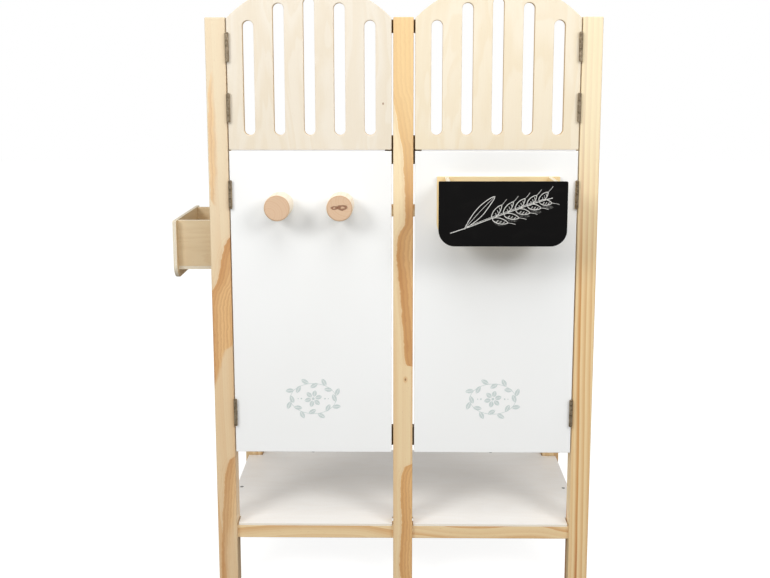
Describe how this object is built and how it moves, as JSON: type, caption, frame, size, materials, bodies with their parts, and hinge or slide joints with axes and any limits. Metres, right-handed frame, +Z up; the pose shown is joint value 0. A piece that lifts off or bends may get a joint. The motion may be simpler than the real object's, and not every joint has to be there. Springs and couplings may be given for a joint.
{
  "type": "toy horse stable",
  "caption": "Timber stand with two stalls for hobby horses, each closed by a split stable door with a slatted arched top half, with bridle pegs and feed boxes.",
  "frame": {"origin": "middle of the front centre post's foot, on the ground", "axes": "+X to the right seen from the front, +Y from the doors to the back, +Z up along the posts"},
  "size_m": [0.783, 0.47, 1.1292],
  "materials": {
    "pine_frame": "oiled pine, satin",
    "beech_dowel": "plain sanded beech",
    "birch_floor": "pale plywood, satin",
    "birch_door": "clear lacquered birch plywood, satin",
    "white_door": "white coated board, satin",
    "birch_box": "sanded birch plywood",
    "chalkboard": "black chalkboard paint on plywood, matte",
    "cream_peg": "turned pale wood, satin",
    "bronze_hinge": "antique bronze, brushed",
    "bronze_screw": "antique bronze",
    "zinc_screw": "zinc plated",
    "brown_catch": "brown moulded plastic",
    "magnet_steel": "bare pole plates",
    "keeper_steel": "passivated"
  },
  "bodies": {
    "frame": {"front_left_post": "pine_frame", "front_centre_post": "pine_frame", "front_right_post": "pine_frame", "rear_left_post": "pine_frame", "rear_right_post": "pine_frame", "front_left_rail": "pine_frame", "front_right_rail": "pine_frame", "left_floor_rail": "pine_frame", "right_floor_rail": "pine_frame", "centre_floor_rail": "pine_frame", "back_floor_rail": "pine_frame", "upper_left_rail": "pine_frame", "upper_right_rail": "pine_frame", "upper_back_rail": "pine_frame", "rail_dowels": "beech_dowel", "floor_board": "birch_floor", "floor_screws": "zinc_screw", "left_upper_hinge_post_leaves": "bronze_hinge", "left_upper_hinge_pins": "bronze_hinge", "left_lower_hinge_post_leaves": "bronze_hinge", "left_lower_hinge_pins": "bronze_hinge", "right_upper_hinge_post_leaves": "bronze_hinge", "right_upper_hinge_pins": "bronze_hinge", "right_lower_hinge_post_leaves": "bronze_hinge", "right_lower_hinge_pins": "bronze_hinge", "hinge_post_screws": "bronze_screw", "catch_housings": "brown_catch", "catch_magnets": "magnet_steel", "left_feed_box_back_board": "birch_box", "left_feed_box_front_board": "birch_box", "left_feed_box_left_wall": "birch_box", "left_feed_box_right_wall": "birch_box", "left_feed_box_bottom_board": "birch_box", "left_feed_box_screws": "zinc_screw"},
    "left_upper_door": {"left_upper_door": "birch_door", "left_upper_hinge_door_leaves": "bronze_hinge", "left_upper_hinge_door_screws": "bronze_screw", "left_upper_keeper_plates": "keeper_steel"},
    "left_lower_door": {"left_lower_door": "white_door", "left_lower_hinge_door_leaves": "bronze_hinge", "left_lower_hinge_door_screws": "bronze_screw", "left_lower_keeper_plates": "keeper_steel", "left_bridle_peg": "cream_peg", "right_bridle_peg": "cream_peg", "peg_screws": "zinc_screw"},
    "right_upper_door": {"right_upper_door": "birch_door", "right_upper_hinge_door_leaves": "bronze_hinge", "right_upper_hinge_door_screws": "bronze_screw", "right_upper_keeper_plates": "keeper_steel"},
    "right_lower_door": {"right_lower_door": "white_door", "right_lower_hinge_door_leaves": "bronze_hinge", "right_lower_hinge_door_screws": "bronze_screw", "right_lower_keeper_plates": "keeper_steel", "right_feed_box_back_board": "birch_box", "right_feed_box_front_board": "chalkboard", "right_feed_box_left_wall": "birch_box", "right_feed_box_right_wall": "birch_box", "right_feed_box_bottom_board": "birch_box", "right_feed_box_screws": "zinc_screw"}
  },
  "joints": [
    {"name": "left_upper_door_hinge", "type": "hinge", "parent": "frame", "child": "left_upper_door", "pos_m": [-0.3107, -0.0216, 0.9652], "axis": [0, 0, -1], "range_deg": [0, 180]},
    {"name": "left_lower_door_hinge", "type": "hinge", "parent": "frame", "child": "left_lower_door", "pos_m": [-0.3107, -0.0216, 0.5524], "axis": [0, 0, -1], "range_deg": [0, 180]},
    {"name": "right_upper_door_hinge", "type": "hinge", "parent": "frame", "child": "right_upper_door", "pos_m": [0.3107, -0.0216, 0.9652], "axis": [0, 0, 1], "range_deg": [0, 180]},
    {"name": "right_lower_door_hinge", "type": "hinge", "parent": "frame", "child": "right_lower_door", "pos_m": [0.3107, -0.0216, 0.5524], "axis": [0, 0, 1], "range_deg": [0, 170]}
  ]
}
